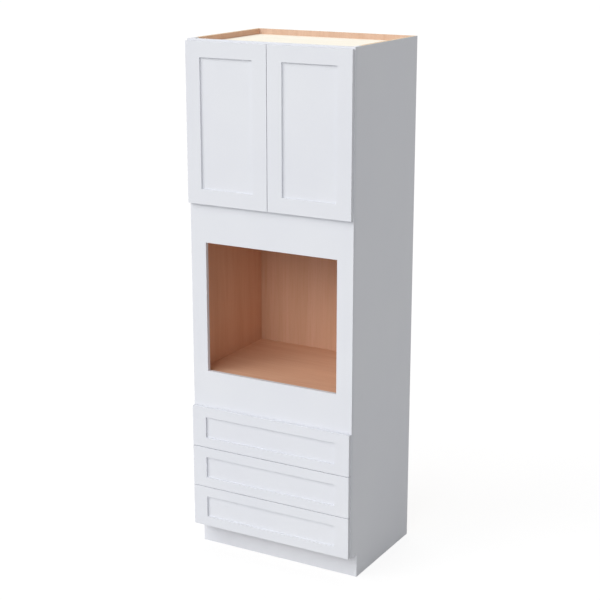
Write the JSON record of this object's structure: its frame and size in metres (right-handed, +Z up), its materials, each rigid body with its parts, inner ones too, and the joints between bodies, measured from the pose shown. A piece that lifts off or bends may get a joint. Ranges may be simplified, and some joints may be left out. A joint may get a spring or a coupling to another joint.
{
  "type": "tall oven housing unit",
  "caption": "Tall framed kitchen cabinet for a built-in wall oven, with a cupboard behind shaker doors above the oven bay and drawers below it.",
  "frame": {"origin": "middle of the footprint of the closed unit, doors and drawer fronts included, on the floor", "axes": "+Z up, -Y to the front where the doors and drawers open, +X to the right as seen from the front"},
  "size_m": [0.8382, 0.6306, 2.4384],
  "materials": {
    "white_paint": "white catalysed paint, satin",
    "maple_veneer_ply": "natural maple veneer on plywood, clear coated; outer faces of the side panels painted white",
    "birch": "clear lacquered birch",
    "zinc_steel": "zinc plated sheet steel",
    "nickel_plate": "nickel plated",
    "soft_plastic": "pale grey nylon clips and translucent bumpers"
  },
  "bodies": {
    "cabinet": {"side_panel_left": "maple_veneer_ply", "side_panel_right": "maple_veneer_ply", "top_panel": "maple_veneer_ply", "cupboard_deck": "maple_veneer_ply", "oven_deck": "maple_veneer_ply", "bottom_panel": "maple_veneer_ply", "back_panel": "maple_veneer_ply", "cupboard_shelf": "maple_veneer_ply", "hanging_rail": "birch", "toe_kick_board": "white_paint", "frame_stile_left": "white_paint", "frame_stile_right": "white_paint", "oven_trim_stile_left": "white_paint", "oven_trim_stile_right": "white_paint", "frame_bottom_rail": "white_paint", "drawer_rail_lower": "white_paint", "drawer_rail_upper": "white_paint", "oven_rail_lower": "white_paint", "oven_rail_upper": "white_paint", "frame_top_rail": "white_paint", "hinge_left_lower_plate": "nickel_plate", "hinge_left_upper_plate": "nickel_plate", "hinge_right_lower_plate": "nickel_plate", "hinge_right_upper_plate": "nickel_plate", "drawer_bottom_track_left": "zinc_steel", "drawer_bottom_track_right": "zinc_steel", "drawer_middle_track_left": "zinc_steel", "drawer_middle_track_right": "zinc_steel", "drawer_top_track_left": "zinc_steel", "drawer_top_track_right": "zinc_steel"},
    "hinge_arms_left": {"hinge_left_lower_arm": "nickel_plate", "hinge_left_upper_arm": "nickel_plate"},
    "hinge_arms_right": {"hinge_right_lower_arm": "nickel_plate", "hinge_right_upper_arm": "nickel_plate"},
    "door_left": {"door_left_frame": "white_paint", "door_left_panel": "white_paint", "hinge_left_lower_cup": "nickel_plate", "hinge_left_upper_cup": "nickel_plate"},
    "door_right": {"door_right_frame": "white_paint", "door_right_panel": "white_paint", "hinge_right_lower_cup": "nickel_plate", "hinge_right_upper_cup": "nickel_plate"},
    "drawer_bottom": {"drawer_bottom_front_frame": "white_paint", "drawer_bottom_front_panel": "white_paint", "drawer_bottom_box": "birch", "drawer_bottom_box_bottom": "birch", "drawer_bottom_runner_left": "zinc_steel", "drawer_bottom_runner_right": "zinc_steel"},
    "drawer_middle": {"drawer_middle_front_frame": "white_paint", "drawer_middle_front_panel": "white_paint", "drawer_middle_box": "birch", "drawer_middle_box_bottom": "birch", "drawer_middle_runner_left": "zinc_steel", "drawer_middle_runner_right": "zinc_steel"},
    "drawer_top": {"drawer_top_front_frame": "white_paint", "drawer_top_front_panel": "white_paint", "drawer_top_box": "birch", "drawer_top_box_bottom": "birch", "drawer_top_runner_left": "zinc_steel", "drawer_top_runner_right": "zinc_steel"}
  },
  "joints": [
    {"name": "hinge_arms_left_swing", "type": "hinge", "parent": "cabinet", "child": "hinge_arms_left", "pos_m": [-0.3713, -0.28647, 2.065], "axis": [0, 0, 1], "range_deg": [0, 39.9]},
    {"name": "door_left_swing", "type": "hinge", "parent": "hinge_arms_left", "child": "door_left", "pos_m": [-0.4018, -0.30118, 2.065], "axis": [0, 0, -1], "range_deg": [0, 144.9]},
    {"name": "hinge_arms_right_swing", "type": "hinge", "parent": "cabinet", "child": "hinge_arms_right", "pos_m": [0.3713, -0.28647, 2.065], "axis": [0, 0, -1], "range_deg": [0, 39.9]},
    {"name": "door_right_swing", "type": "hinge", "parent": "hinge_arms_right", "child": "door_right", "pos_m": [0.4018, -0.30118, 2.065], "axis": [0, 0, 1], "range_deg": [0, 144.9]},
    {"name": "drawer_bottom_slide", "type": "slide", "parent": "cabinet", "child": "drawer_bottom", "axis": [0, -1, 0], "range_m": [0, 0.4]},
    {"name": "drawer_middle_slide", "type": "slide", "parent": "cabinet", "child": "drawer_middle", "axis": [0, -1, 0], "range_m": [0, 0.4]},
    {"name": "drawer_top_slide", "type": "slide", "parent": "cabinet", "child": "drawer_top", "axis": [0, -1, 0], "range_m": [0, 0.4]}
  ],
  "couplings": [
    {"joint": "hinge_arms_left_swing", "follows": "door_left_swing", "ratio": 0.27536},
    {"joint": "hinge_arms_right_swing", "follows": "door_right_swing", "ratio": 0.27536}
  ]
}
